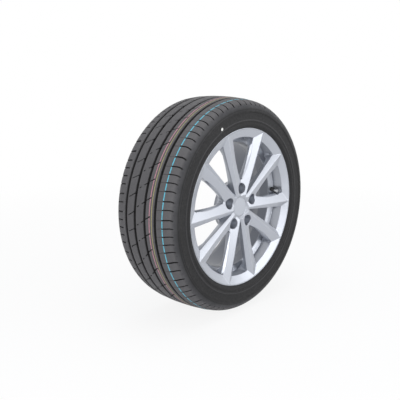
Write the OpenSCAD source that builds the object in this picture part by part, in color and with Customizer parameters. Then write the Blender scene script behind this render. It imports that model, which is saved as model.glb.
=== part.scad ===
// Mounted car wheel: a 235/45 R17 road tyre on a ten-spoke cast alloy wheel.
// The wheel's axis lies along Y, its outboard face looks along -Y and its centre is the origin.

/* [Rim size] */
// Distance between the inner faces of the two flanges
rim_w = 190.5; // [180:0.5:204]
// Radius of the bead seats at the flanges
seat_r = 218.3; // [217:0.1:220]
// Height of the flanges above the bead seats
flange_h = 17.2; // [15:0.1:19]
// Width of each flange's lip outside its inner face
flange_w = 12; // [11:0.5:14]
// Taper of the bead seats in degrees
seat_taper = 5; // [3:0.5:6]
// Depth of the drop centre below the bead seats
well_drop = 21.8; // [18:0.1:25]
// Depth of the barrel below the bead seats
barrel_drop = 5.3; // [4:0.1:8]
// Wall of the barrel
barrel_t = 6; // [4:0.5:8]
// Wall of the drop centre's outboard side
step_t = 5; // [4:0.5:6]
// Slope of the drop centre's outboard side in degrees
step_lean = 22; // [18:1:26]
// Distance from the wheel's centre plane to the mounting face
offset_et = 50; // [44:1:54]

/* [Wheel face] */
// Number of V-shaped pairs of spokes
pair_n = 5; // [5:1:5]
// Angle of the first pair's centre line, in degrees
pair_angle = 16.7; // [0:0.1:72]
// Angle between a pair's centre line and each of its spokes
spread = 19.85; // [18.5:0.05:21]
// Distance of a spoke's crest from its centre line, towards the narrow window
crest_shift = 4; // [2:0.5:6]
// Slope of a spoke's broad facet in degrees
broad_slope = 16.5; // [12:0.5:20]
// Slope of a spoke's narrow facet in degrees
narrow_slope = 29; // [22:0.5:34]
// Depth of the spokes' crests at the hub behind the lip
crest_hub_drop = 9.25; // [6:0.25:12]
// Width of the ring from the flange's edge to the windows
ring_w = 26.5; // [23:0.5:30]
// Depth of the ring's inner edge behind the lip
ring_drop = 10.2; // [7:0.1:13]
// Width of the raised band at the lip
lip_band_w = 3.4; // [2:0.1:5]
// Height of the raised band at the lip
lip_step = 1; // [0.6:0.1:1.8]
// Depth of a spoke in the middle of its length
spoke_depth = 21; // [18:0.5:28]
// Depth of a spoke at the hub
root_depth = 24; // [20:0.5:30]
// Radius at which the wide windows start
wide_window_r = 82; // [79:0.5:86]
// Width of a wide window at the ring
wide_window_w = 94; // [88:0.5:98]
// Rounding of a wide window's inner end
wide_end_r = 6; // [4:0.5:8]
// Size of a wide window's corner at the back of the ring
wide_corner = 20; // [12:0.5:24]
// Spread of the chamfer along a wide window's sides
chamfer_w = 12; // [6:0.5:16]
// Radius at which the narrow windows start
narrow_window_r = 46; // [44:0.5:52]
// Width of a narrow window at the ring
narrow_window_w = 74; // [68:0.5:78]
// Rounding of a narrow window's inner end
narrow_end_r = 2; // [1.5:0.1:3]
// Size of a narrow window's corner at the back of the ring
narrow_corner = 24; // [14:0.5:26]
// Slope of the hub's ramp in a narrow window, in degrees
ramp_slope = 47; // [40:1:55]

/* [Hub] */
// Radius of the mounting pad
pad_r = 74; // [70:0.5:78]
// Radius of the centre bore
bore_r = 28.55; // [27:0.05:30]
// Radius of the circle of bolt holes
bolt_circle_r = 56; // [54:0.5:57.5]
// Radius of a bolt hole
bolt_hole_r = 7.5; // [6.5:0.1:8]
// Radius of a bolt's pocket
pocket_r = 16.2; // [15:0.1:17]
// Thickness of the mounting pad's edge
pad_t = 10; // [8:0.5:14]
// Thickness of the hub under a bolt's head
bolt_seat_t = 16; // [12:0.5:20]
// Radius of the ball seat in a bolt's pocket
ball_seat_r = 13; // [12:0.1:14]

/* [Centre cap] */
// Radius of the cap's face
cap_r = 28.6; // [27.5:0.1:29.5]
// Depth of the cap's face behind the lip
cap_drop = 16.25; // [14:0.25:19]
// Thickness of the cap's face
cap_t = 3.2; // [2:0.1:4]
// Radius of the hole that the cap's clips pass through
clip_hole_r = 26; // [24:0.1:26.5]
// Depth of the shelf that the clips hook behind
clip_shelf = 7; // [5:0.5:9]
// Number of clips
clip_n = 6; // [4:1:8]
// Wall of a clip
clip_t = 1.8; // [1.2:0.1:2.4]

/* [Valve] */
// Angle at which the valve stands on the wheel, in degrees
valve_angle = 6; // [3:0.5:10]
// Radius of the valve hole
valve_hole_r = 5.65; // [5.3:0.05:6]
// Length of the valve from its seat to its tip
valve_len = 33; // [28:0.5:38]

/* [Tyre] */
// Height of the tyre from the bead seats to the middle of the tread
section_h = 103.6; // [98:0.1:110]
// Width of the inflated tyre
section_w = 230; // [224:0.5:236]
// Fall of the tread from its middle to the shoulder
crown_drop = 5.3; // [3:0.1:8]
// Half the width of the flat part of the tread
flat_half = 73; // [68:0.5:80]
// Height above the bead seats at which the tyre is widest
widest_h = 62.7; // [56:0.1:70]
// Thickness of the tyre under the tread
crown_t = 17; // [15:0.5:20]
// Thickness of the sidewall
side_t = 9; // [7:0.5:11]
// Width of a bead's base
bead_w = 20; // [18:0.5:21]
// Gap between the rubber and the rim
bead_gap = 0.25; // [0.15:0.05:0.4]
// Depth of the flat spot that the tyre stands on
flat_spot = 0.6; // [0.3:0.1:1.5]

/* [Tread] */
// Depth of the grooves
groove_depth = 7.5; // [5:0.1:8.5]
// Width of a groove at the surface
groove_w = 9.4; // [7:0.1:11]
// Distance of the inner pair of grooves from the middle
groove_in = 18.9; // [16:0.1:22]
// Distance of the outer pair of grooves from the middle
groove_out = 56.3; // [52:0.1:60]
// Number of slots round each shoulder
pitch_n = 72; // [60:6:84]
// Width of a shoulder slot
slot_w = 3.6; // [2.5:0.1:5]
// Depth of a shoulder slot
slot_depth = 5.5; // [3:0.1:7]
// Slant of the shoulder slots in degrees
slot_slant = 9; // [0:0.5:15]
// Width of the slanting cuts in the ribs
cut_w = 3; // [2:0.1:4]
// Slant of the rib cuts in degrees
cut_slant = 38; // [30:1:45]

/* [Hidden] */
$fn = 180;

function arc(cx, cy, r, a0, a1, n) =
    [for (i = [0 : n]) let (a = a0 + (a1 - a0) * i / n) [cx + r * cos(a), cy + r * sin(a)]];
function reverse(points) = [for (i = [len(points) - 1 : -1 : 0]) points[i]];
function tail(points) = [for (i = [1 : len(points) - 1]) points[i]];
function mirror_z(points) = [for (p = points) [p[0], -p[1]]];

// How far joined shapes run into each other, and cuts run past a face, is past.
// Profiles are [radius, height] pairs, with height along the axis towards the outboard face.
// Rim: flange, bead seat and hump, which both sides share
past = 1;
flange_z = rim_w / 2;
lip_z = flange_z + flange_w;
flange_r = seat_r + flange_h;
ring_r = flange_r - ring_w;
well_r = seat_r - well_drop;
barrel_r = seat_r - barrel_drop;
barrel_in_r = barrel_r - barrel_t;
curl_r = 9.5;
heel_r = 6.5;
hump_rise = 1.2;
hump_half = 4;
hump_z = flange_z - bead_w - hump_half;
lip_angle = asin((flange_w - curl_r) / curl_r);
function seat_at(z) = seat_r - (flange_z - z) * tan(seat_taper);
function curl(gap) = arc(flange_r - curl_r, flange_z + curl_r, curl_r + gap, lip_angle, -90, 7);
function heel(gap) = let (z = flange_z - heel_r, r = seat_at(z + heel_r * sin(seat_taper)))
    arc(r + heel_r * cos(seat_taper), z, heel_r - gap, 90, 180 - seat_taper, 5);
function hump() = [for (t = [-1 : 0.5 : 1]) let (z = hump_z - t * hump_half)
    [seat_at(z) + hump_rise * (1 + cos(180 * t)) / 2, z]];
side_profile = concat(curl(0), heel(0), hump());

// Rim: drop centre, barrel and the ring of the face
step_edge = 2;
step_top_z = hump_z - hump_half - step_edge;
well_in_z = 22;
barrel_in_z = -8;
barrel_step = 8;
flare_l = 36;
rear_lip = 2;
ring_z = lip_z - ring_drop;
lip_face_r = flange_r - lip_band_w;
ring_edge = 1;
barrel_front_r = ring_r - ring_edge;
step_run = barrel_front_r - (well_r - barrel_t);
step_z = step_top_z - 1.8;
step_outer_r = seat_at(step_top_z) - step_edge;
function flare() = [for (a = [0 : 15 : 90])
    [flange_r - rear_lip - (flange_r - rear_lip - barrel_in_r) * sin(a), flare_l * (1 - cos(a)) - lip_z]];
function step_under(r) = step_z - (barrel_front_r - r) * tan(step_lean) - step_t / cos(step_lean);
function rim_profile() = concat(
    [[lip_face_r, lip_z - lip_step], [lip_face_r + lip_step / 2, lip_z]], side_profile,
    [[step_outer_r, step_top_z], [step_outer_r, step_under(step_outer_r)], [well_r, step_under(well_r)],
     [well_r, well_in_z], [barrel_r - ring_edge, barrel_in_z], [barrel_r, barrel_in_z - barrel_step]],
    reverse(mirror_z(side_profile)), flare(),
    [[barrel_in_r, barrel_in_z - barrel_step], [barrel_in_r - ring_edge, barrel_in_z - ring_edge],
     [well_r - barrel_t, well_in_z - ring_edge * 2], [well_r - barrel_t, step_z - step_run * tan(step_lean)],
     [barrel_front_r, step_z], [barrel_front_r, ring_z - ring_edge], [ring_r, ring_z]]);

// Face: crest line of the spokes, and the outlines of the windows
crest_start_r = 40;
crest_hub_z = lip_z - crest_hub_drop;
crest_rise = (lip_z - lip_step - crest_hub_z) / (lip_face_r - crest_start_r);
pair_step = 360 / pair_n;
overlap = 6;
face_top = lip_z + 5;
cut_high = 2 * lip_z;
draft = 2;
function crest_z(r) = crest_hub_z + (r - crest_start_r) * crest_rise;
pad_step = 4;
root_run = 21;
foot_run = 32;
foot_l = 14;
foot_drop = 6;
toe_run = 9;
lip_sink = 2.5;
root_r = pad_r + root_run;
spoke_mid_r = (pad_r + ring_r) / 2;
foot_r = ring_r - foot_run;
foot_end_r = foot_r + foot_l;
function face_profile() = [
    [0, offset_et], [pad_r, offset_et], [pad_r, offset_et + pad_t], [pad_r + pad_step, offset_et + pad_t * 2],
    [root_r, crest_z(root_r) - root_depth], [spoke_mid_r, crest_z(spoke_mid_r) - spoke_depth],
    [foot_r, crest_z(foot_r) - spoke_depth],
    [foot_end_r, crest_z(foot_end_r) - spoke_depth - foot_drop],
    [barrel_front_r - toe_run, step_top_z + step_edge], [barrel_front_r - past, step_top_z],
    [ring_r + past, step_top_z + step_edge], [ring_r + past, ring_z - past],
    [lip_face_r + past, lip_z - lip_step - lip_sink], [lip_face_r + past, face_top], [0, face_top]];

// Half a window's outline, from its inner end to its corner at the ring: a round end, sides that part as the
// power of the way out, and a corner of a given size. The corner runs a little into the ring.
end_steps = 5;
corner_steps = 5;
corner_reach = max(wide_corner, narrow_corner) + past;
function side_at(start_r, end_r, w, power, grow, x) =
    let (run = sqrt(pow(ring_r, 2) - pow(w / 2, 2)) - start_r - end_r,
         way = max(0, (x - start_r - end_r) / run))
    end_r + (w / 2 - end_r) * pow(way, power) + grow * (1 - 0.9 * way + sin(180 * min(1, way)));
function window_half(start_r, end_r, w, power, steps, grow, corner) =
    let (centre = start_r + end_r, fit_r = ring_r + 1.5 * past, kx = sqrt(pow(fit_r, 2) - pow(w / 2, 2)),
         ky = side_at(start_r, end_r, w, power, grow, kx), ka = atan2(ky, kx),
         px = kx - corner, py = side_at(start_r, end_r, w, power, grow, px), last_x = kx - corner_reach,
         qa = ka - corner / fit_r * 180 / PI, qx = fit_r * cos(qa), qy = fit_r * sin(qa),
         k = [fit_r * cos(ka), fit_r * sin(ka)])
    concat(
        [for (i = [0 : end_steps]) let (a = 180 - 90 * i / end_steps)
            [centre + (end_r + grow * 0.7) * cos(a), (end_r + grow) * sin(a)]],
        [for (i = [1 : steps]) let (x = centre + (last_x - centre) * i / steps)
            [x, side_at(start_r, end_r, w, power, grow, x)]],
        [for (i = [0 : corner_steps]) let (t = i / corner_steps)
            pow(1 - t, 2) * [px, py] + 2 * t * (1 - t) * k + pow(t, 2) * [qx, qy]],
        [[(fit_r + 10) * cos(qa * 0.9), (fit_r + 10) * sin(qa * 0.9)]]);
function both_sides(half) =
    concat([for (p = half) [p[0], -p[1]]], [for (i = [len(half) - 1 : -1 : 1]) half[i]]);

// Cap and its clips
cap_z = lip_z - cap_drop;
cap_gap = 0.3;
clip_gap = 0.3;
cap_edge = 0.8;
dish_w = 16;
dish_h = 12;
shelf_z = cap_z - cap_t - clip_shelf;
hook_depth = 1.1;
clip_len = cap_t + clip_shelf + 3;
spring_r = 0.9;
spring_gap = 0.1;
clip_slot = 5;
clip_groove_h = 6;
clip_groove_r = bore_r + 1.5;
bore_chamfer = 3;

// Valve
valve_inset = 6.3;
valve_seat_r = barrel_front_r - valve_inset;
valve_seat_z = step_z - valve_inset * tan(step_lean);
valve_lip_r = valve_hole_r + 0.95;
valve_bulb_r = valve_hole_r + 1.95;
valve_bore_r = 1.7;
thread_r = 3.85;
stem_r = 2.7;
cap_wall = 1.1;
stem_gap = 0.05;
core_pin_r = 0.5;
rubber_top = valve_len - 13;
stem_top = valve_len - 4;
valve_clear = 0.15;
valve_under = -step_t - valve_clear;
valve_room = 2.5;
valve_bulb_l = 9.5;

// Tread
rib_w = groove_out - groove_in;
slot_start = groove_out + groove_w / 2 + 21;
slot_end = section_w / 2 - 5;
slot_steps = 6;
cut_depth = 6;
cut_shift = 8;
wall_slope = 1.4;

// Tyre
tread_r = seat_r + section_h;
widest_r = seat_r + widest_h;
function crown_at(z, r0) = r0 - crown_drop * pow(min(1, abs(z) / flat_half), 2.4);
shoulder_r = tread_r - crown_drop;
function shoulder(r0, r1, z0, z1, n) = [for (i = [n : -1 : 1]) let (a = 90 * i / n)
    [r1 + (r0 - r1) * cos(a), z0 + (z1 - z0) * sin(a)]];
function crown(r0, z0, n) = [for (i = [n : -1 : 0]) [crown_at(z0 * i / n, r0), z0 * i / n]];
function tyre_r(z) = z <= flat_half ? crown_at(z, tread_r) :
    widest_r + (shoulder_r - widest_r) * sqrt(1 - pow((z - flat_half) / (section_w / 2 - flat_half), 2));
half_w = section_w / 2;
inner_half = half_w - side_t;
inner_flat = flat_half - 8;
toe_z = flange_z - bead_w;
toe_h = 2;
rim_guard_h = 10;
band_h = 33;
function tyre_half() = concat(
    [[seat_at(toe_z) + bead_gap + toe_h * 0.3, toe_z], [seat_at(toe_z + toe_h) + bead_gap, toe_z + toe_h]],
    reverse(heel(bead_gap)), reverse(curl(bead_gap)),
    [[flange_r + rim_guard_h - 6.5, lip_z + 3.4], [flange_r + rim_guard_h - 3, half_w - 3],
     [flange_r + rim_guard_h, half_w - 1.8], [flange_r + rim_guard_h + 3.5, half_w - 2.2],
     [flange_r + rim_guard_h + 6, half_w - 3.4], [flange_r + rim_guard_h + 12, half_w - 2],
     [flange_r + band_h, half_w - 0.6]],
    shoulder(shoulder_r, widest_r, flat_half, half_w, 10), crown(tread_r, flat_half, 6));
function cavity_half() = concat(
    [[seat_at(toe_z) + toe_h + 0.5, toe_z], [seat_at(toe_z) + toe_h * 7, toe_z + 3],
     [flange_r + rim_guard_h + 3, flange_z - side_t + 2], [flange_r + band_h - 5, inner_half - 4]],
    shoulder(shoulder_r - crown_t - 1, widest_r, inner_flat, inner_half, 8),
    crown(tread_r - crown_t, inner_flat, 4));

module wheel_axis() { rotate([90, 0, 0]) children(); }
module each_pair(offset_angle = 0) {
    for (i = [0 : pair_n - 1]) rotate(pair_angle + offset_angle + i * pair_step) children();
}

// One window on +X, as a loft through its outline at each height: each level is [height, grow, corner]
module window(start_r, end_r, w, power, steps, levels) {
    rings = [for (l = levels) both_sides(window_half(start_r, end_r, w, power, steps, l[1], l[2]))];
    n = len(rings[0]);
    last = (len(levels) - 1) * n;
    polyhedron(
        points = [for (i = [0 : len(levels) - 1]) each [for (p = rings[i]) [p[0], p[1], levels[i][0]]]],
        faces = concat(
            [[for (i = [0 : n - 1]) i]], [[for (i = [0 : n - 1]) last + (n - i) % n]],
            [for (k = [0 : len(levels) - 2]) each [for (i = [0 : n - 1])
                let (a = k * n + i, b = k * n + (i + 1) % n) each [[a, b + n, b], [a, a + n, b + n]]]]));
}

// What lies under one spoke's two facets, within its share of the face and a little past it, so that
// neighbours overlap and meet in a valley
module spoke_roof(pair_side) {
    reach = lip_face_r + 30;
    broad = reach * tan(spread);
    narrow = reach * tan(pair_step / 2 - spread);
    rotate(pair_side * spread) mirror([0, pair_side < 0 ? 1 : 0, 0]) intersection() {
        translate([0, 0, offset_et - 10]) linear_extrude(90)
            polygon([[-overlap, -overlap], [reach, -broad - overlap], [reach, narrow + overlap],
                     [-overlap, overlap]]);
        translate([0, crest_shift, crest_hub_z - crest_start_r * crest_rise])
            rotate([0, -atan(crest_rise), 0]) rotate([90, 0, 90]) translate([0, 0, -20])
                linear_extrude(reach + 60)
                    polygon([[0, 0], [-reach, -reach * tan(broad_slope)], [-reach, -cut_high],
                             [reach, -cut_high], [reach, -reach * tan(narrow_slope)]]);
    }
}

// The cone that closes the narrow windows towards the hub
module ramp() {
    low_z = offset_et - 10;
    start_z = crest_hub_z - 4;
    start_r = narrow_window_r - 2;
    rotate_extrude() polygon([
        [0, low_z], [start_r + (start_z - low_z) / tan(ramp_slope), low_z],
        [start_r - (face_top - start_z) / tan(ramp_slope), face_top], [0, face_top]]);
}

module face() {
    low_z = offset_et - 5;
    edge_z = crest_z(spoke_mid_r) - 13;
    corner_z = step_top_z + 4;
    difference() {
        intersection() {
            rotate_extrude() polygon(face_profile());
            union() each_pair() { spoke_roof(1); spoke_roof(-1); }
        }
        each_pair() window(wide_window_r, wide_end_r, wide_window_w, 0.85, 6, [
            [low_z, draft, wide_corner], [corner_z, draft, wide_corner],
            [edge_z, 0, 3], [face_top, chamfer_w, 2]]);
        difference() {
            each_pair(pair_step / 2) window(narrow_window_r, narrow_end_r, narrow_window_w, 1, 2, [
                [low_z, draft, narrow_corner], [corner_z, draft, narrow_corner],
                [edge_z, 0, 3], [face_top, 0.5, 2]]);
            ramp();
        }
        valve_place() translate([0, 0, -past]) cylinder(h = valve_len + 10, r = valve_bulb_r + valve_room);
    }
}

module bolt_pocket() {
    floor_z = offset_et + bolt_seat_t;
    translate([bolt_circle_r, 0, 0]) {
        translate([0, 0, floor_z]) cylinder(h = face_top - floor_z, r1 = pocket_r - 1.2, r2 = pocket_r + 0.6);
        translate([0, 0, floor_z + 5]) sphere(r = ball_seat_r);
        translate([0, 0, offset_et - past]) cylinder(h = face_top - offset_et, r = bolt_hole_r);
    }
}

module valve_place() {
    rotate(valve_angle) translate([valve_seat_r, 0, valve_seat_z]) rotate([0, -step_lean, 0]) children();
}

module alloy_wheel() {
    color([0.72, 0.74, 0.78]) wheel_axis() difference() {
        union() {
            rotate_extrude() polygon(rim_profile());
            face();
        }
        each_pair() bolt_pocket();
        translate([0, 0, offset_et - past]) cylinder(h = shelf_z - offset_et + past, r = bore_r);
        translate([0, 0, offset_et - past])
            cylinder(h = bore_chamfer, r1 = bore_r + bore_chamfer, r2 = bore_r);
        translate([0, 0, shelf_z - clip_groove_h]) cylinder(h = clip_groove_h, r = clip_groove_r);
        translate([0, 0, shelf_z - past]) cylinder(h = clip_shelf + past * 2, r = clip_hole_r);
        translate([0, 0, cap_z - cap_t]) cylinder(h = cap_t + dish_h, r = cap_r + cap_gap);
        translate([0, 0, cap_z + cap_gap])
            cylinder(h = dish_h, r1 = cap_r + cap_gap * 3, r2 = cap_r + cap_gap + dish_w);
        valve_place() translate([0, 0, -step_t * 2]) cylinder(h = step_t * 4, r = valve_hole_r);
    }
}

module centre_cap() {
    clip_r = clip_hole_r - clip_gap;
    hook_h = 3;
    color([0.74, 0.76, 0.8]) wheel_axis() difference() {
        union() {
            translate([0, 0, cap_z - cap_t]) cylinder(h = cap_t - cap_edge, r = cap_r);
            translate([0, 0, cap_z - cap_edge]) cylinder(h = cap_edge, r1 = cap_r, r2 = cap_r - cap_edge);
            translate([0, 0, cap_z - clip_len]) cylinder(h = clip_len - cap_edge * 2, r = clip_r);
            translate([0, 0, shelf_z - clip_gap - hook_h])
                cylinder(h = hook_h, r1 = clip_r, r2 = clip_hole_r + hook_depth);
        }
        translate([0, 0, cap_z - clip_len - past]) cylinder(h = clip_len - cap_t + past, r = clip_r - clip_t);
        for (i = [0 : clip_n - 1]) rotate(i * 360 / clip_n)
            translate([0, -clip_slot / 2, cap_z - clip_len - past])
                cube([cap_r, clip_slot, clip_len - cap_t - past]);
    }
}

module cap_spring_ring() {
    ring_middle_r = clip_hole_r - clip_gap - clip_t - spring_r - spring_gap;
    color([0.55, 0.56, 0.58]) wheel_axis() translate([0, 0, shelf_z + past])
        rotate_extrude() translate([ring_middle_r, 0]) circle(r = spring_r, $fn = 32);
}

module valve_body() {
    sleeve_r = stem_r + stem_gap;
    color([0.1, 0.1, 0.11]) wheel_axis() valve_place() rotate_extrude() polygon([
        [sleeve_r, -valve_bulb_l], [valve_bulb_r - 2, -valve_bulb_l], [valve_bulb_r, 1.5 - valve_bulb_l],
        [valve_bulb_r, valve_under], [valve_hole_r - valve_clear, valve_under],
        [valve_hole_r - valve_clear, valve_clear], [valve_lip_r, valve_clear], [valve_lip_r, 3.6],
        [valve_lip_r - 0.8, 5], [valve_hole_r - 0.45, valve_len * 0.42], [valve_hole_r - 1.05, rubber_top],
        [sleeve_r, rubber_top]]);
}

module valve_stem() {
    color([0.72, 0.6, 0.36]) wheel_axis() valve_place() difference() {
        union() {
            translate([0, 0, 1.5 - valve_bulb_l]) cylinder(h = stem_top + valve_bulb_l - 1.5, r = stem_r);
            translate([0, 0, rubber_top + 0.2]) cylinder(h = stem_top - rubber_top - 2.2, r = thread_r);
        }
        translate([0, 0, -valve_len]) cylinder(h = valve_len * 3, r = valve_bore_r);
    }
}

module valve_core() {
    color([0.8, 0.7, 0.5]) wheel_axis() valve_place() {
        translate([0, 0, rubber_top - 4]) cylinder(h = 9, r = valve_bore_r);
        translate([0, 0, rubber_top - 6]) cylinder(h = 15, r = core_pin_r);
    }
}

module valve_cap() {
    cap_outer_r = thread_r + valve_clear + cap_wall;
    inner_top = valve_len - cap_wall - 0.4;
    color([0.6, 0.61, 0.63]) wheel_axis() valve_place() difference() {
        union() {
            translate([0, 0, rubber_top + 1.5]) cylinder(h = valve_len - rubber_top - 2.5, r = cap_outer_r);
            translate([0, 0, valve_len - 1]) cylinder(h = 1, r1 = cap_outer_r, r2 = thread_r);
        }
        translate([0, 0, rubber_top + 1.5 - past])
            cylinder(h = inner_top - rubber_top - 1.5 + past, r = thread_r + valve_clear);
    }
}

// A slot round the shoulder: its floor follows the tread at a depth that runs out at its ends
module shoulder_slot(z0, z1, slant) {
    middle = (z0 + z1) / 2;
    floor_points = [for (i = [0 : slot_steps]) let (t = i / slot_steps, z = z0 + (z1 - z0) * t)
        [tyre_r(abs(z)) - slot_depth * sin(30 + 150 * t), z]];
    translate([0, 0, middle]) rotate([slant, 0, 0]) translate([0, 0, -middle])
        rotate([90, 0, 0]) translate([0, 0, -slot_w / 2]) linear_extrude(slot_w)
            polygon(concat(floor_points, [[tread_r + groove_w, z1 + sign(z1) * past * 2],
                                          [tread_r + groove_w, z0 - sign(z1) * past * 2]]));
}

// A slanting cut in a rib, from z0 to z1. It lies t0 round the tread at z0 and climbs with its slant.
module rib_cut(z0, z1, t0, slant) {
    t1 = t0 + abs(z1 - z0) * tan(slant);
    translate([tread_r - cut_depth, 0, 0]) rotate([0, 90, 0]) linear_extrude(cut_depth * 2)
        polygon([[-z0, t0 - cut_w / 2], [-z1, t1 - cut_w / 2], [-z1, t1 + cut_w / 2], [-z0, t0 + cut_w / 2]]);
}

module groove(z) {
    floor_r = crown_at(z, tread_r) - groove_depth;
    rotate_extrude() polygon([
        [tread_r + past, z - groove_w / 2 - past], [tread_r - past * 1.5, z - groove_w / 2],
        [floor_r, z - groove_w / 2 + wall_slope], [floor_r, z + groove_w / 2 - wall_slope],
        [tread_r - past * 1.5, z + groove_w / 2], [tread_r + past, z + groove_w / 2 + past]]);
}

module tread_cuts() {
    for (z = [-groove_out, -groove_in, groove_in, groove_out]) groove(z);
    for (i = [0 : pitch_n - 1]) rotate(i * 360 / pitch_n) {
        shoulder_slot(slot_start, slot_end, slot_slant);
        shoulder_slot(-slot_start, -slot_end, slot_slant);
    }
    for (i = [0 : pitch_n / 2 - 1]) rotate(i * 720 / pitch_n) {
        rib_cut(-groove_in, -groove_in - rib_w * 0.75, 0, cut_slant);
        rib_cut(groove_in, groove_in - rib_w * 0.35, cut_shift, -cut_slant);
        rib_cut(-groove_in * 0.5, -groove_in * 0.16, cut_shift * 2.4, -cut_slant);
        rib_cut(groove_in, groove_in + rib_w * 0.3, cut_shift * 0.25, -cut_slant);
    }
}

module tyre() {
    color([0.17, 0.17, 0.18]) difference() {
        wheel_axis() difference() {
            rotate_extrude() polygon(concat(
                tyre_half(), tail(reverse(mirror_z(tyre_half()))),
                mirror_z(cavity_half()), tail(reverse(cavity_half()))));
            tread_cuts();
        }
        translate([-pad_r, -flat_half, -tread_r - groove_w])
            cube([pad_r * 2, flat_half * 2, groove_w + flat_spot]);
    }
}

tyre();
alloy_wheel();
centre_cap();
cap_spring_ring();
valve_body();
valve_stem();
valve_core();
valve_cap();
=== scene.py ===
"""A road car tyre mounted on a ten-spoke alloy wheel, standing on its tread in a plain pale studio."""
import math

import bmesh
import bpy
from mathutils import Matrix, Vector


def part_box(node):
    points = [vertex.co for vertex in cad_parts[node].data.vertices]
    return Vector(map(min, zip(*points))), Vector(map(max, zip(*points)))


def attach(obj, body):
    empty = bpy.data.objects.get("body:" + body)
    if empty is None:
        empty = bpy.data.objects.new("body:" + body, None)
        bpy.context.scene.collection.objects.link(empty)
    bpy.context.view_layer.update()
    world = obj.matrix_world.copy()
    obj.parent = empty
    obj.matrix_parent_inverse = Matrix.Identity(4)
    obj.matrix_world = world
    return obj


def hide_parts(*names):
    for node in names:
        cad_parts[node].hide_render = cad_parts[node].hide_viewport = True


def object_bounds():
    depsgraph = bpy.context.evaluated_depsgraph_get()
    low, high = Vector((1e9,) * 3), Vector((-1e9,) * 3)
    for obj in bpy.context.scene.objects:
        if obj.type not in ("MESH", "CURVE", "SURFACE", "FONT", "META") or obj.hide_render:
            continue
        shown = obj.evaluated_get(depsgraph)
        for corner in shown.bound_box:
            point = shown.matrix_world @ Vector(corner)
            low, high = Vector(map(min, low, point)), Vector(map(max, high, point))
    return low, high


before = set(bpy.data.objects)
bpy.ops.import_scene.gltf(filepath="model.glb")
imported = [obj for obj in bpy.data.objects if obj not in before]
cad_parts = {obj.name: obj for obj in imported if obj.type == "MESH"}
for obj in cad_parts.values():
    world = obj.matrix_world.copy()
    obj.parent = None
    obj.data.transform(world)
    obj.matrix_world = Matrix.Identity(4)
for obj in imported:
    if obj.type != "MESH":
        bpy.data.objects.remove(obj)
cad_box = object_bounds()

# Camera: a 57 mm lens 1.95 m from the wheel, turned to the side of the tread and a little above it.
# The small shift puts the wheel where it stands in the picture.
VIEW_AZIMUTH = math.radians(-49.73)
VIEW_ELEVATION = math.radians(12.415)
VIEW_ROLL = math.radians(0.315)
VIEW_DISTANCE = 1.950
VIEW_TARGET = Vector((0.0, -0.0052, 0.0))
VIEW_SHIFT = (-0.0454, 0.0068)
LENS_MM = 57.39

camera_data = bpy.data.cameras.new("camera")
camera_data.lens = LENS_MM
camera_data.shift_x, camera_data.shift_y = VIEW_SHIFT
camera = bpy.data.objects.new("camera", camera_data)
bpy.context.scene.collection.objects.link(camera)
bpy.context.scene.camera = camera
bpy.context.scene.view_settings.view_transform = "Standard"
backwards = Vector((math.sin(VIEW_AZIMUTH) * math.cos(VIEW_ELEVATION),
                    -math.cos(VIEW_AZIMUTH) * math.cos(VIEW_ELEVATION), math.sin(VIEW_ELEVATION)))
sideways = Vector((math.cos(VIEW_AZIMUTH), math.sin(VIEW_AZIMUTH), 0.0))
turned = Matrix((sideways, backwards.cross(sideways), backwards)).transposed()
turned = turned @ Matrix.Rotation(VIEW_ROLL, 3, "Z")
camera.matrix_world = Matrix.Translation(VIEW_TARGET + backwards * VIEW_DISTANCE) @ turned.to_4x4()

# Room: white walls all round with soft fill light. The camera, the metal and the lacquer see plain
# white, and the light that reaches the wheel from the walls is weaker.
ROOM_LIGHT = 0.55
ROOM_TONE = "f4f6fa"


def linear(hex_colour):
    """The linear colour of an sRGB hex value such as "8a8c90"."""
    parts = [int(hex_colour[i:i + 2], 16) / 255 for i in (0, 2, 4)]
    return tuple(p / 12.92 if p <= 0.04045 else ((p + 0.055) / 1.055) ** 2.4 for p in parts) + (1.0,)


def node(tree, kind, inputs, **settings):
    """Adds a node and gives its outputs. Each input is a socket, a plain value or a hex colour."""
    made = tree.nodes.new("ShaderNode" + kind)
    for name, value in settings.items():
        setattr(made, name, value)
    for name, value in inputs.items():
        if isinstance(value, bpy.types.NodeSocket):
            tree.links.new(value, made.inputs[name])
        else:
            made.inputs[name].default_value = linear(value) if isinstance(value, str) else value
    return made.outputs


def white_to_the_eye(tree):
    """1 where the camera, a mirror or glass looks at a surface, 0 where the surface only lights the wheel."""
    path = node(tree, "LightPath", {})
    share = node(tree, "Math", {0: path["Is Camera Ray"], 1: path["Is Glossy Ray"]}, operation="MAXIMUM")[0]
    return node(tree, "Math", {0: share, 1: path["Is Transmission Ray"]}, operation="MAXIMUM")[0]


room = bpy.data.worlds.new("white_room")
bpy.context.scene.world = room
room.use_nodes = True
tree = room.node_tree
tree.nodes.clear()
fill = node(tree, "Background", {"Color": ROOM_TONE, "Strength": ROOM_LIGHT})[0]
white = node(tree, "Background", {"Color": "ffffff", "Strength": 1.0})[0]
walls = node(tree, "MixShader", {0: white_to_the_eye(tree), 1: fill, 2: white})[0]
node(tree, "OutputWorld", {"Surface": walls})

# Lamps: three softboxes, each given by its place, size and watts and turned to face the wheel. One lights
# the spoke face, one the side of the tread, and one hangs overhead.
SOFTBOXES = {"face_softbox": ((1.08, -2.3, 0.15), (2.2, 2.1), 28),
             "tread_softbox": ((-2.25, -1.15, 0.5), (1.2, 1.4), 24),
             "top_softbox": ((-0.2, -0.2, 2.4), (2.0, 2.0), 26)}

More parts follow.
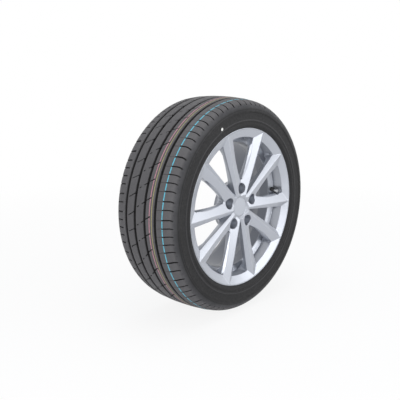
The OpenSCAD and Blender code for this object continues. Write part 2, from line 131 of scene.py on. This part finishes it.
for name, (place, size, watts) in SOFTBOXES.items():
    softbox = bpy.data.lights.new(name, "AREA")
    softbox.shape = "RECTANGLE"
    softbox.size, softbox.size_y = size
    softbox.energy = watts
    lamp = bpy.data.objects.new(name, softbox)
    bpy.context.scene.collection.objects.link(lamp)
    lamp.location = place
    lamp.rotation_euler = (-Vector(place)).to_track_quat("-Z", "Y").to_euler()

# Floor: a wide sheet of pale studio paper that the tyre stands on. It keeps the tyre's shadow near the
# wheel and turns plain white further out.
PAPER_SIZE = 14.0
PAPER_TONE = "f6f6f7"
PAPER_WHITE = 0.86
PAPER_NEAR, PAPER_FAR = 0.5, 2.2


def finish(piece, name):
    """Takes off a piece's old materials, gives it one new, empty one and returns its node tree."""
    material = bpy.data.materials.new(name)
    material.use_nodes = True
    material.node_tree.nodes.clear()
    piece.data.materials.clear()
    piece.data.materials.append(material)
    return material.node_tree


bpy.ops.object.select_all(action="DESELECT")
bpy.ops.mesh.primitive_plane_add(size=PAPER_SIZE, location=(0, 0, cad_box[0][2]))
floor = bpy.context.active_object
floor.name = "floor"
bpy.ops.object.transform_apply(location=True, rotation=True, scale=True)

# Matt studio paper has no shine, so the eye sees only a soft shadow on white.
tree = finish(floor, "matt_studio_paper")
place = node(tree, "TexCoord", {})["Object"]
reach = node(tree, "VectorMath", {0: place}, operation="LENGTH")["Value"]
fade = node(tree, "MapRange", {"Value": reach, "From Min": PAPER_NEAR, "From Max": PAPER_FAR,
                               "To Min": PAPER_WHITE})[0]
share = node(tree, "Math", {0: white_to_the_eye(tree), 1: fade}, operation="MULTIPLY")[0]
paper = node(tree, "BsdfDiffuse", {"Color": PAPER_TONE})[0]
glow = node(tree, "Emission", {"Color": "ffffff", "Strength": 1.0})[0]
node(tree, "OutputMaterial", {"Surface": node(tree, "MixShader", {0: share, 1: paper, 2: glow})[0]})

# Wheel: one casting of aluminium alloy, machined at its seats and hub, then sprayed silver and lacquered
# all over. It is the source's own shape, with the soft edges that a casting has under its coats of paint.
MM = 0.001
MERGE_MM = 0.02
FLAT_WITHIN = math.radians(1.5)
CAST_EDGE_MM, CAST_EDGE_FROM = 1.1, math.radians(25)
SMOOTH_WITHIN = math.radians(38)
SILVER_TONES = ("a9adb6", "b5b9c1")
# Painted shade: deep inside the barrel, behind the face and out from the axle, the silver is painted dark
# grey.
BARREL_PAINTED_SHADE = "666a73"
BARREL_SHADE_FROM_Y, BARREL_SHADE_FROM_R = (-0.058, -0.052), (0.150, 0.170)
FLAKE_MM = 0.385
PEEL_MM, PEEL_HIGH_MM, PEEL_STRENGTH = 3.85, 0.3, 0.06
LACQUERED = {"Metallic": 0.75, "Roughness": 0.36, "Coat Weight": 0.5, "Coat Roughness": 0.12}


def add_piece(name, mesh):
    """Puts a mesh in the scene as a piece of its own, selected and active."""
    made = bpy.data.objects.new(name, mesh)
    made.data.name = name
    bpy.context.scene.collection.objects.link(made)
    bpy.ops.object.select_all(action="DESELECT")
    made.select_set(True)
    bpy.context.view_layer.objects.active = made
    return made


def softened_copy(part, name, edge_mm, edge_from):
    """A copy of a solid, with its hard edges rounded over and its flat facets kept flat."""
    made = add_piece(name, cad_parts[part].data.copy())
    bpy.ops.object.mode_set(mode="EDIT")
    bpy.ops.mesh.select_all(action="SELECT")
    bpy.ops.mesh.remove_doubles(threshold=MERGE_MM * MM)
    bpy.ops.mesh.dissolve_limited(angle_limit=FLAT_WITHIN, delimit=set())
    bpy.ops.object.mode_set(mode="OBJECT")
    round_over = made.modifiers.new("round_over", "BEVEL")
    round_over.width = edge_mm * MM
    round_over.segments = 2
    round_over.limit_method = "ANGLE"
    round_over.angle_limit = edge_from
    round_over.use_clamp_overlap = False
    bpy.ops.object.modifier_apply(modifier=round_over.name)
    bpy.ops.object.shade_smooth_by_angle(angle=SMOOTH_WITHIN)
    flats = made.modifiers.new("flat_facets", "WEIGHTED_NORMAL")
    flats.mode = "FACE_AREA"
    flats.weight = 100
    flats.keep_sharp = True
    bpy.ops.object.modifier_apply(modifier=flats.name)
    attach(made, "root")
    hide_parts(part)
    return made


def sprayed_silver(tree, place):
    """The silver coat's colour and the faint orange peel of the lacquer over it."""
    flakes = node(tree, "TexNoise", {"Vector": place, "Scale": 1 / (FLAKE_MM * MM), "Detail": 2.0,
                                     "Roughness": 0.7})["Fac"]
    share = node(tree, "MapRange", {"Value": flakes, "From Min": 0.35, "From Max": 0.65},
                 interpolation_type="SMOOTHSTEP")[0]
    silver = node(tree, "Mix", {0: share, 6: SILVER_TONES[0], 7: SILVER_TONES[1]}, data_type="RGBA")[2]
    peel = node(tree, "TexNoise", {"Vector": place, "Scale": 1 / (PEEL_MM * MM), "Detail": 2.0,
                                   "Roughness": 0.5})["Fac"]
    bump = node(tree, "Bump", {"Height": peel, "Strength": PEEL_STRENGTH, "Distance": PEEL_HIGH_MM * MM})[0]
    return silver, bump


wheel = softened_copy("alloy_wheel", "cast_wheel", CAST_EDGE_MM, CAST_EDGE_FROM)

# Silver lacquered cast aluminium: metal flakes in satin silver under clear lacquer give an even cool grey
# that lights up where a facet faces a lamp. Inside the barrel the silver is painted darker, as painted shade
# in the deep recess. Real flakes are a tenth of the size and are drawn this coarse so that they show.
tree = finish(wheel, "silver_lacquered_cast_aluminium")
place = node(tree, "TexCoord", {})["Object"]
silver, peel = sprayed_silver(tree, place)
flat_place = node(tree, "VectorMath", {0: place, 1: (1, 0, 1)}, operation="MULTIPLY")[0]
from_axle = node(tree, "VectorMath", {0: flat_place}, operation="LENGTH")["Value"]
# Painted shade in the barrel: the silver darkens behind the face and out towards the rim.
shade_in_depth = node(tree, "MapRange", {"Value": node(tree, "SeparateXYZ", {0: place})["Y"],
                                   "From Min": BARREL_SHADE_FROM_Y[0], "From Max": BARREL_SHADE_FROM_Y[1]},
                interpolation_type="SMOOTHSTEP")[0]
shade_in_barrel = node(tree, "MapRange", {"Value": from_axle,
                                    "From Min": BARREL_SHADE_FROM_R[0], "From Max": BARREL_SHADE_FROM_R[1]},
                 interpolation_type="SMOOTHSTEP")[0]
share = node(tree, "Math", {0: shade_in_depth, 1: shade_in_barrel}, operation="MULTIPLY")[0]
silver = node(tree, "Mix", {0: share, 6: silver, 7: BARREL_PAINTED_SHADE}, data_type="RGBA")[2]
shader = node(tree, "BsdfPrincipled", {"Base Color": silver, "Normal": peel, **LACQUERED})[0]
node(tree, "OutputMaterial", {"Surface": shader})

# Valve body: the snap-in rubber body, pulled through the rim's hole until its groove grips the edge. It is
# moulded of black rubber round the brass stem, so it is matt and has no parting from it.
VALVE_RUBBER, VALVE_RUBBER_WORN = "222224", "333335"
VALVE_GRAIN_MM, VALVE_GRAIN_HIGH_MM = 0.6, 0.05

valve_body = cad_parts["valve_body"]

# Moulded valve rubber: a fine even grain from the mould keeps it from shining.
tree = finish(valve_body, "moulded_valve_rubber")
place = node(tree, "TexCoord", {})["Object"]
grain = node(tree, "TexNoise", {"Vector": place, "Scale": 1 / (VALVE_GRAIN_MM * MM), "Detail": 3.0})["Fac"]
rubber = node(tree, "Mix", {0: grain, 6: VALVE_RUBBER, 7: VALVE_RUBBER_WORN}, data_type="RGBA")[2]
bump = node(tree, "Bump", {"Height": grain, "Strength": 0.3, "Distance": VALVE_GRAIN_HIGH_MM * MM})[0]
shader = node(tree, "BsdfPrincipled", {"Base Color": rubber, "Normal": bump, "Roughness": 0.6})[0]
node(tree, "OutputMaterial", {"Surface": shader})

# Valve stem: the brass tube that the rubber is moulded round. It is turned on a lathe from bar and holds
# the core inside and the cap on its end.
VALVE_AXIS = (0.3726, 0.9272, 0.0392)
BRASS, BRASS_DULL = "c0a468", "9d8350"
STEM_RING_MM = 0.5
RING_HIGH_MM = 0.02
DULL_PATCH_MM = 4.0


def turned_metal(tree, bright, dull, ring_mm):
    """A lathe's fine rings across the valve's own axis, with the tone a little dulled in patches."""
    place = node(tree, "TexCoord", {})["Object"]
    along = node(tree, "VectorMath", {0: place, 1: VALVE_AXIS}, operation="DOT_PRODUCT")["Value"]
    turns = node(tree, "Math", {0: along, 1: 2 * math.pi / (ring_mm * MM)}, operation="MULTIPLY")[0]
    rings = node(tree, "Math", {0: turns}, operation="SINE")[0]
    bump = node(tree, "Bump", {"Height": rings, "Strength": 0.2, "Distance": RING_HIGH_MM * MM})[0]
    patches = node(tree, "TexNoise", {"Vector": place, "Scale": 1 / (DULL_PATCH_MM * MM)})["Fac"]
    share = node(tree, "MapRange", {"Value": patches, "From Min": 0.4, "From Max": 0.8, "To Max": 0.6})[0]
    tone = node(tree, "Mix", {0: share, 6: bright, 7: dull}, data_type="RGBA")[2]
    shader = node(tree, "BsdfPrincipled", {"Base Color": tone, "Normal": bump, "Metallic": 1.0,
                                           "Roughness": 0.3})[0]
    node(tree, "OutputMaterial", {"Surface": shader})


valve_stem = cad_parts["valve_stem"]

# Turned brass: yellow metal with fine rings from the tool, which draw a highlight out along the stem.
turned_metal(finish(valve_stem, "turned_brass"), BRASS, BRASS_DULL, STEM_RING_MM)

# Valve core: the sprung pin that shuts the valve, screwed into the stem. It is turned from brass, finer
# than the stem, and is seen only with the cap off.
CORE_RING_MM = 0.3

valve_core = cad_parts["valve_core"]

# Fine turned brass: closer rings than the stem's, so it shines more evenly.
turned_metal(finish(valve_core, "fine_turned_brass"), BRASS, BRASS_DULL, CORE_RING_MM)

# Valve cap: a small closed cap screwed on the stem to keep dirt out. It is turned from bright aluminium
# and knocks about in the weather, so its shine is a little broken.
CAP_METAL, CAP_METAL_DULL = "a0a2a6", "8c8e92"
CAP_RING_MM = 0.6

valve_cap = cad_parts["valve_cap"]

# Bright turned aluminium: white metal with a bright line down its side from the tool's rings.
turned_metal(finish(valve_cap, "bright_turned_aluminium"), CAP_METAL, CAP_METAL_DULL, CAP_RING_MM)

# Tyre: one moulding of black rubber with four grooves, slotted shoulders and smooth sidewalls, vulcanised in
# a segmented mould and seated on the rim by its beads. One pitch of the tread is cut here, in millimetres,
# and repeated round the wheel. Short, medium and long pitches take turns, which keeps the tread from humming.
tyre_low, tyre_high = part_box("tyre")
TREAD_R = round(tyre_high[0] / MM, 1)
HALF_W = round(tyre_high[1] / MM, 1)
FLAT_SPOT = round(TREAD_R + tyre_low[2] / MM, 1)
FLANGE_R = round(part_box("alloy_wheel")[1][0] / MM, 1)
CROWN_DROP = 5.3
FLAT_HALF = 73.0
WIDEST_R = 281.0
FLANGE_Y = 95.25
SEAT_R = 218.3
CURL_R = 9.5
BEAD_W = 20.0
BEAD_GAP = 0.25
CROWN_T = 17.0
SIDE_T = 9.0
PITCH_SEQUENCE = "SMLSMMSSLLMLSMLMSLLSMMLSLMSMLLSMLSMLSM"
SLOT_STEPS = {"S": (4.1, 4.1), "M": (4.15, 4.95), "L": (6.0, 5.0)}
FIRST_SLOT = 122.6
SLOT_PLACE = 0.27
PITCHES = len(PITCH_SEQUENCE)
PITCH_STEPS = 8
PITCH_ANGLE = 2 * math.pi / PITCHES
GROOVES = (-56.3, -19.0, 18.8, 56.3)
GROOVE_W = 9.4
GROOVE_DEPTH = 7.5
CUT_ABOVE = 3.0
NOTCH_AFTER = 0.2
CARCASS_SMOOTH = math.radians(32)
ON_PITCH_END = 1e-5
SAME_POINT = 0.004


def tread_radius(y):
    """The radius of the tread and shoulder at a distance from the tyre's middle."""
    if abs(y) <= FLAT_HALF:
        return TREAD_R - CROWN_DROP * (abs(y) / FLAT_HALF) ** 2.4
    share = min(1.0, (abs(y) - FLAT_HALF) / (HALF_W - FLAT_HALF))
    return WIDEST_R + (TREAD_R - CROWN_DROP - WIDEST_R) * math.sqrt(1 - share * share)


def tread_section():
    """The ribs and grooves from one shoulder to the other: chamfered edges, tapered walls, round floors."""
    points = [(y, tread_radius(y)) for y in (-67, -48, -37.6, -27, -10, 0, 10, 27, 37.6, 48, 67)]
    half = GROOVE_W / 2
    for centre in GROOVES:
        top = tread_radius(centre)
        for y, depth in ((half + 0.8, 0), (half + 0.1, 0.8), (half - 1.2, GROOVE_DEPTH - 1.2),
                         (half - 2.3, GROOVE_DEPTH)):
            points += [(centre - y, top - depth), (centre + y, top - depth)]
    return sorted(points)


def side_section():
    """One half's shoulder, sidewall and bead, from the tread's edge to the bead's toe and back inside."""
    points = []
    for i in range(14):
        angle = math.radians(6 * i)
        points.append((FLAT_HALF + (HALF_W - 0.8 - FLAT_HALF) * math.sin(angle),
                       WIDEST_R + (TREAD_R - CROWN_DROP - WIDEST_R) * math.cos(angle)))
    points += [(HALF_W - sink, radius) for sink, radius in (
        (0, 283.6), (0, 281.6), (0.8, 280.2), (1.5, 279), (1.6, 273), (1.9, 266), (2.3, 259.5), (1.8, 258.5),
        (1.9, 255.5), (3.3, 252), (2.4, 249.6), (1.8, 247.5), (1.9, 245), (3, 242.3), (5.2, 238.6))]
    centre_y, centre_r, radius = FLANGE_Y + CURL_R, FLANGE_R - CURL_R, CURL_R + BEAD_GAP
    for i in range(7):
        angle = math.radians(15 - 105 * i / 6)
        points.append((centre_y + radius * math.sin(angle), centre_r + radius * math.cos(angle)))
    points += [(FLANGE_Y - BEAD_GAP - 0.4, 222.6), (FLANGE_Y - 2.3, 219.8), (FLANGE_Y - 6, 218.3)]
    toe = FLANGE_Y - BEAD_W
    points += [(toe + 2, SEAT_R - (BEAD_W - 2) * math.tan(math.radians(5)) + BEAD_GAP), (toe, 218),
               (toe + 3, 232), (88, 248), (101, 263), (HALF_W - SIDE_T, WIDEST_R), (102, 293), (88, 298),
               (FLAT_HALF - 8, TREAD_R - CROWN_T - 4)]
    return points


def select_everything():
    """Opens the active piece in edit mode with all of it selected."""
    bpy.ops.object.mode_set(mode="EDIT")
    bpy.ops.mesh.select_all(action="SELECT")


def slot_blade(middle_line, angle, depth, width):
    """A mould blade, extruded along a slot's middle line of points (y, way round, share of the depth)."""
    bpy.ops.object.select_all(action="DESELECT")
    bpy.ops.mesh.primitive_plane_add(calc_uvs=False)
    blade = bpy.context.active_object
    corners = [blade.data.vertices[i] for i in blade.data.polygons[0].vertices]
    for n, (y, around, share) in enumerate(middle_line):
        back, ahead = middle_line[max(n - 1, 0)], middle_line[min(n + 1, len(middle_line) - 1)]
        half = Vector((ahead[0] - back[0], ahead[1] - back[1])).normalized() * width / 2
        ring = []
        for side, lift in ((1, -depth * share), (1, CUT_ABOVE), (-1, CUT_ABOVE), (-1, -depth * share)):
            radius = tread_radius(y - side * half.y) + lift
            turn = angle + (around + side * half.x) / TREAD_R
            ring.append(Vector((radius * math.cos(turn), y - side * half.y, radius * math.sin(turn))))
        if n > 0:
            bpy.ops.object.mode_set(mode="EDIT")
            bpy.ops.mesh.extrude_region_move()
            bpy.ops.object.mode_set(mode="OBJECT")
            grown = [corner for corner in blade.data.vertices if corner.select]
            corners = [min(grown, key=lambda corner: (corner.co - spot).length) for spot in last_ring]
        for corner, spot in zip(corners, ring):
            corner.co = spot
        last_ring = ring
    select_everything()
    bpy.ops.mesh.normals_make_consistent(inside=False)
    bpy.ops.object.mode_set(mode="OBJECT")
    return blade


section = side_section()
section = [(-y, r) for y, r in section] + [(0, TREAD_R - CROWN_T)] + section[::-1] + tread_section()[::-1]
bpy.ops.object.select_all(action="DESELECT")
bpy.ops.mesh.primitive_circle_add(vertices=len(section), fill_type="NGON", calc_uvs=False)
pitch = bpy.context.active_object
for vertex, (y, radius) in zip(pitch.data.vertices, section):
    vertex.co = (radius, y, 0)
select_everything()
bpy.ops.mesh.spin(steps=PITCH_STEPS, angle=PITCH_ANGLE, center=(0, 0, 0), axis=(0, 1, 0))
bpy.ops.mesh.select_all(action="SELECT")
bpy.ops.mesh.normals_make_consistent(inside=False)
bpy.ops.object.mode_set(mode="OBJECT")

# Twice a pitch there is a slot across each shoulder, a fine cut that leads to the near one, and a small
# notch on each sidewall beside them.
blades = []
for half_pitch in (0, 1):
    start = PITCH_ANGLE * (SLOT_PLACE + 0.5 * half_pitch)
    blades.append(slot_blade([(-79, 0, 0.6), (-86, -0.9, 1), (-93, -1.9, 1), (-99, -2.4, 0.9),
                              (-103.5, -1.5, 0.7), (-108, 0.8, 0.15)], start, 5.5, 3.8))
    blades.append(slot_blade([(-57, 3.4, 1), (-66, 2.2, 1), (-74, 1.0, 1), (-81, 0, 1)], start, 2.5, 0.9))
    blades.append(slot_blade([(71, -0.6, 0.7), (76, -0.4, 1), (83, 0, 1), (90, 0.9, 1), (97, 1.7, 1),
                              (103, 1.3, 0.8), (108.5, -0.6, 0.15)], start, 5.5, 4.0))
    start += PITCH_ANGLE * NOTCH_AFTER
    blades.append(slot_blade([(106.8, 0.0, 1), (108.6, 0.0, 1)], start, 1.4, 1.8))
    blades.append(slot_blade([(-106.2, 0.0, 1), (-108.2, 0.0, 1)], start, 1.4, 1.8))

# The ribs between the grooves have one slanted sipe or notch a pitch.
for middle_line, cut_depth, cut_width in (
        ([(17, -11.8, 1), (30, -4.5, 1), (41, 1.7, 0.7), (46, 4.5, 0.35)], 6.0, 2.6),
        ([(-20, 9.0, 1), (-11, 15.5, 1), (-6.5, 18.8, 0.4)], 6.0, 2.8),
        ([(3.0, 25.5, 0.7), (9.5, 30.2, 0.7)], 5.0, 2.8),
        ([(-17.5, 9.0, 1), (-30.0, 1.0, 1), (-39.5, -5.0, 0.6)], 4.5, 3.2),
        ([(-57.5, 22.0, 1), (-50.5, 22.4, 0.5)], 4.0, 2.2)):
    blades.append(slot_blade(middle_line, PITCH_ANGLE * SLOT_PLACE, cut_depth, cut_width))
for blade in blades:
    bpy.ops.object.select_all(action="DESELECT")
    pitch.select_set(True)
    bpy.context.view_layer.objects.active = pitch
    cut = pitch.modifiers.new("blade_cut", "BOOLEAN")
    cut.operation = "DIFFERENCE"
    cut.solver = "EXACT"
    cut.object = blade
    bpy.ops.object.modifier_apply(modifier=cut.name)
    bpy.data.objects.remove(blade)

# The pitch loses the faces at its two ends, where it meets its neighbours.
bpy.ops.object.mode_set(mode="EDIT")
bpy.ops.mesh.select_mode(type="FACE")
bpy.ops.mesh.select_all(action="DESELECT")
shape = bmesh.from_edit_mesh(pitch.data)
for face in shape.faces:
    turns = [math.atan2(corner.co.z, corner.co.x) for corner in face.verts]
    for end in (0, PITCH_ANGLE):
        if max(abs(turn - end) for turn in turns) < ON_PITCH_END:
            face.select_set(True)
bmesh.update_edit_mesh(pitch.data)
bpy.ops.mesh.delete(type="ONLY_FACE")
bpy.ops.mesh.select_face_by_sides(number=4, type="GREATER")
bpy.ops.mesh.quads_convert_to_tris(quad_method="BEAUTY", ngon_method="BEAUTY")
bpy.ops.mesh.select_mode(type="VERT")
bpy.ops.object.mode_set(mode="OBJECT")

tyre = add_piece("road_tyre", pitch.data.copy())
for i in range(1, PITCHES):
    neighbour = bpy.data.objects.new("pitch", pitch.data.copy())
    neighbour.data.transform(Matrix.Rotation(-PITCH_ANGLE * i, 4, "Y"))
    bpy.context.scene.collection.objects.link(neighbour)
    neighbour.select_set(True)
bpy.data.objects.remove(pitch)
bpy.ops.object.join()
select_everything()
bpy.ops.mesh.remove_doubles(threshold=SAME_POINT)
bpy.ops.object.mode_set(mode="OBJECT")

# Each slot is moved round to its own place and the lowest part of the tread is pressed flat on the ground.
# Each point keeps its depth below the tread and its distance from the nearest slot, for the painted shade in
# the slots and grooves and for the ink lines.
slot_steps = [step for letter in PITCH_SEQUENCE for step in SLOT_STEPS[letter]]
whole_turn = sum(slot_steps)
depths, slot_distances = [], []
for vertex in tyre.data.vertices:
    radius = math.hypot(vertex.co.x, vertex.co.z)
    below = tread_radius(vertex.co.y) - radius
    depths.append(below if below < 1.5 * GROOVE_DEPTH else 0.0)
    slots = (2 * (math.atan2(vertex.co.z, vertex.co.x) / PITCH_ANGLE - SLOT_PLACE)) % len(slot_steps)
    slot_distances.append(abs(slots - round(slots)))
    past = min(int(slots), len(slot_steps) - 1)
    turn = sum(slot_steps[:past]) + (slots - past) * slot_steps[past]
    angle = math.radians(FIRST_SLOT + 360 * turn / whole_turn)
    vertex.co = (radius * math.cos(angle), vertex.co.y, max(radius * math.sin(angle), FLAT_SPOT - TREAD_R))
    vertex.co *= MM
tyre.data.attributes.new("depth", "FLOAT", "POINT").data.foreach_set("value", depths)
tyre.data.attributes.new("from_slot", "FLOAT", "POINT").data.foreach_set("value", slot_distances)
bpy.ops.object.shade_smooth_by_angle(angle=CARCASS_SMOOTH)
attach(tyre, "root")
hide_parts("tyre")

# Moulded tyre rubber: matt where the mould was blasted, satin on the sidewall; carbon black leaves it dark
# grey. The slots and grooves are painted near black by their depth, as painted shade. Places on it are in
# metres, and depths in millimetres.
TREAD_TONE, SIDEWALL_TONE = "525153", "2b2b2e"
PATCH_TONE, LOWER_SIDE_TONE = "5b5a5c", "101012"
BUTTRESS_PAINTED_HIGHLIGHT, LEDGE_PAINTED_HIGHLIGHT, SLOT_PAINTED_SHADE = "5e5f63", "5a5a5d", "0b0b0c"
SIDEWALL_FROM = (0.101, 0.110)
LOWER_SIDE_FROM = (0.290, 0.284)
# Painted highlight: a lighter bluish band round the upper sidewall, below the shoulder.
BUTTRESS_R, BUTTRESS_HIGHLIGHT_BAND = 0.2965, (0.0080, 0.0045)
# Painted highlight: a thin lighter line round the sidewall along its ledge.
LEDGE_R, LEDGE_HIGHLIGHT_BAND = 0.2580, (0.0020, 0.0008)
# Painted shade: the slots and grooves turn near black over these depths below the tread, in millimetres.
SLOT_SHADE = (0.4, 3.2)
PATCH_MM, PATCH_SHADE = 45.5, (0.35, 0.70)
SCUFF_MM = 6.25
GRAIN_MM, SKIN_HIGH_MM = 0.71, 0.6

tree = finish(tyre, "moulded_tyre_rubber")
place = node(tree, "TexCoord", {})["Object"]
across = node(tree, "SeparateXYZ", {0: place})["Y"]
flat_place = node(tree, "VectorMath", {0: place, 1: (1, 0, 1)}, operation="MULTIPLY")[0]
from_axle = node(tree, "VectorMath", {0: flat_place}, operation="LENGTH")["Value"]
off_middle = node(tree, "Math", {0: across}, operation="ABSOLUTE")[0]
depth = node(tree, "Attribute", {}, attribute_name="depth")["Fac"]
from_slot = node(tree, "Attribute", {}, attribute_name="from_slot")["Fac"]
patches = node(tree, "TexNoise", {"Vector": place, "Scale": 1 / (PATCH_MM * MM), "Detail": 4.0,
                                  "Roughness": 0.6})["Fac"]
off_buttress_highlight = node(tree, "Math", {0: from_axle, 1: BUTTRESS_R}, operation="SUBTRACT")[0]
off_buttress_highlight = node(tree, "Math", {0: off_buttress_highlight}, operation="ABSOLUTE")[0]
off_ledge_highlight = node(tree, "Math", {0: from_axle, 1: LEDGE_R}, operation="SUBTRACT")[0]
off_ledge_highlight = node(tree, "Math", {0: off_ledge_highlight}, operation="ABSOLUTE")[0]
sidewall = node(tree, "MapRange", {"Value": off_middle,
                                   "From Min": SIDEWALL_FROM[0], "From Max": SIDEWALL_FROM[1]},
                interpolation_type="SMOOTHSTEP")[0]
rubber = node(tree, "Mix", {0: sidewall, 6: TREAD_TONE, 7: SIDEWALL_TONE}, data_type="RGBA")[2]
# Tones laid over the rubber: random patches, the darker lower sidewall, painted highlights in the buttress
# and ledge bands, and painted shade in the slots and grooves.
for measure, (start, end), most, where, tone in (
        (patches, PATCH_SHADE, 0.35, 1.0, PATCH_TONE),
        (from_axle, LOWER_SIDE_FROM, 0.90, sidewall, LOWER_SIDE_TONE),
        (off_buttress_highlight, BUTTRESS_HIGHLIGHT_BAND, 0.20, sidewall, BUTTRESS_PAINTED_HIGHLIGHT),
        (off_ledge_highlight, LEDGE_HIGHLIGHT_BAND, 0.25, sidewall, LEDGE_PAINTED_HIGHLIGHT),
        (depth, SLOT_SHADE, 1.0, 1.0, SLOT_PAINTED_SHADE)):
    share = node(tree, "MapRange", {"Value": measure, "From Min": start, "From Max": end, "To Max": most},
                 interpolation_type="SMOOTHSTEP")[0]
    share = node(tree, "Math", {0: share, 1: where}, operation="MULTIPLY")[0]
    rubber = node(tree, "Mix", {0: share, 6: rubber, 7: tone}, data_type="RGBA")[2]

# Marking ink: three lines rolled on the tread at the factory and a balance dot dabbed on the sidewall. It is
# thin and matt, a little wavy and worn, and the blue line breaks at each slot.
PINK_LINE = (-0.0372, 0.0012, "b98490")
YELLOW_LINE = (-0.0450, 0.0009, "a39a68")
BLUE_LINE = (-0.0805, 0.0014, "5fbad1")
LINE_EDGE = 0.0004
SLOT_SHARE, SHARE_EDGE = 0.085, 0.01
INK_DEPTH = (0.7, 0.2)
DOT_R, DOT_Y, DOT_ANGLE = 0.2645, -0.1133, math.radians(115)
DOT_EDGE = (0.0046, 0.0040)
DOT_TONE = "e6e6e2"
WAVE_MM, WAVE_HIGH = 111, 0.0012
WEAR_MM = 2.4

wave = node(tree, "TexNoise", {"Vector": place, "Scale": 1 / (WAVE_MM * MM), "Detail": 3.0,
                               "Roughness": 0.55})["Fac"]
wave = node(tree, "Math", {0: wave, 1: WAVE_HIGH, 2: -WAVE_HIGH / 2}, operation="MULTIPLY_ADD")[0]
line_place = node(tree, "Math", {0: across, 1: wave}, operation="ADD")[0]
worn = node(tree, "TexNoise", {"Vector": place, "Scale": 1 / (WEAR_MM * MM), "Detail": 2.0,
                               "Roughness": 0.55})["Fac"]
worn = node(tree, "MapRange", {"Value": worn, "From Min": 0.36, "From Max": 0.5,
                               "To Min": 0.5, "To Max": 0.95}, interpolation_type="SMOOTHSTEP")[0]
on_top = node(tree, "MapRange", {"Value": depth, "From Min": INK_DEPTH[0], "From Max": INK_DEPTH[1]},
              interpolation_type="SMOOTHSTEP")[0]
inked = node(tree, "Math", {0: worn, 1: on_top}, operation="MULTIPLY")[0]
for (line_y, half, tone), gap in ((PINK_LINE, 0.0), (YELLOW_LINE, 0.0), (BLUE_LINE, SLOT_SHARE)):
    off_line = node(tree, "Math", {0: line_place, 1: line_y}, operation="SUBTRACT")[0]
    off_line = node(tree, "Math", {0: off_line}, operation="ABSOLUTE")[0]
    share = node(tree, "MapRange", {"Value": off_line, "From Min": half + LINE_EDGE, "From Max": half},
                 interpolation_type="SMOOTHSTEP")[0]
    unbroken = node(tree, "MapRange", {"Value": from_slot,
                                       "From Min": gap - SHARE_EDGE, "From Max": gap + SHARE_EDGE},
                    interpolation_type="SMOOTHSTEP")[0]
    share = node(tree, "Math", {0: share, 1: unbroken}, operation="MULTIPLY")[0]
    share = node(tree, "Math", {0: share, 1: inked}, operation="MULTIPLY")[0]
    rubber = node(tree, "Mix", {0: share, 6: rubber, 7: tone}, data_type="RGBA")[2]
dot_place = (DOT_R * math.cos(DOT_ANGLE), DOT_Y, DOT_R * math.sin(DOT_ANGLE))
off_dot = node(tree, "VectorMath", {0: place, 1: dot_place}, operation="DISTANCE")["Value"]
share = node(tree, "MapRange", {"Value": off_dot, "From Min": DOT_EDGE[0], "From Max": DOT_EDGE[1]},
             interpolation_type="SMOOTHSTEP")[0]
rubber = node(tree, "Mix", {0: share, 6: rubber, 7: DOT_TONE}, data_type="RGBA")[2]

# The rubber's skin has the blasted mould's fine grain and broader scuffs, which also change its sheen.
grain = node(tree, "TexNoise", {"Vector": place, "Scale": 1 / (GRAIN_MM * MM), "Detail": 3.0,
                                "Roughness": 0.6})["Fac"]
scuffs = node(tree, "TexNoise", {"Vector": place, "Scale": 1 / (SCUFF_MM * MM), "Detail": 4.0,
                                 "Roughness": 0.65})["Fac"]
fine = node(tree, "Math", {0: grain, 1: 0.35}, operation="MULTIPLY")[0]
height = node(tree, "Math", {0: scuffs, 1: 0.5, 2: fine}, operation="MULTIPLY_ADD")[0]
bump = node(tree, "Bump", {"Height": height, "Strength": 0.3, "Distance": SKIN_HIGH_MM * MM})[0]
sheen = node(tree, "MapRange", {"Value": scuffs, "From Min": 0.3, "From Max": 0.7,
                                "To Min": 0.56, "To Max": 0.72}, interpolation_type="SMOOTHSTEP")[0]
shader = node(tree, "BsdfPrincipled", {"Base Color": rubber, "Normal": bump, "Roughness": sheen,
                                       "Specular IOR Level": 0.35})[0]
node(tree, "OutputMaterial", {"Surface": shader})

# Centre cap: a plastic moulding pressed into the hub, held by six sprung clips behind its disc. It is painted
# in the wheel's silver, and its edges are a little softer than the casting's.
CAP_EDGE_MM, CAP_EDGE_FROM = 0.5, math.radians(30)

centre_cap = softened_copy("centre_cap", "moulded_cap", CAP_EDGE_MM, CAP_EDGE_FROM)

# Silver painted plastic: the same flakes and lacquer as the wheel, so the two read as one finish.
tree = finish(centre_cap, "silver_painted_moulded_plastic")
silver, peel = sprayed_silver(tree, node(tree, "TexCoord", {})["Object"])
shader = node(tree, "BsdfPrincipled", {"Base Color": silver, "Normal": peel, **LACQUERED})[0]
node(tree, "OutputMaterial", {"Surface": shader})

# Spring ring: a hoop of spring steel wire laid inside the cap's clips, which keeps them spread against the
# hub. It is drawn wire, so it is bright with long faint marks, and it is hidden once the cap is in.
WIRE, WIRE_DULL = "8c8c90", "77777b"
DRAWN_MM = 1.2

spring_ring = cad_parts["cap_spring_ring"]

# Drawn spring steel: cold grey metal, a little duller in streaks where the die rubbed.
tree = finish(spring_ring, "drawn_spring_steel")
place = node(tree, "TexCoord", {})["Object"]
streaks = node(tree, "TexNoise", {"Vector": place, "Scale": 1 / (DRAWN_MM * MM), "Detail": 2.0})["Fac"]
tone = node(tree, "Mix", {0: streaks, 6: WIRE, 7: WIRE_DULL}, data_type="RGBA")[2]
sheen = node(tree, "MapRange", {"Value": streaks, "To Min": 0.24, "To Max": 0.4})[0]
shader = node(tree, "BsdfPrincipled", {"Base Color": tone, "Metallic": 1.0, "Roughness": sheen})[0]
node(tree, "OutputMaterial", {"Surface": shader})
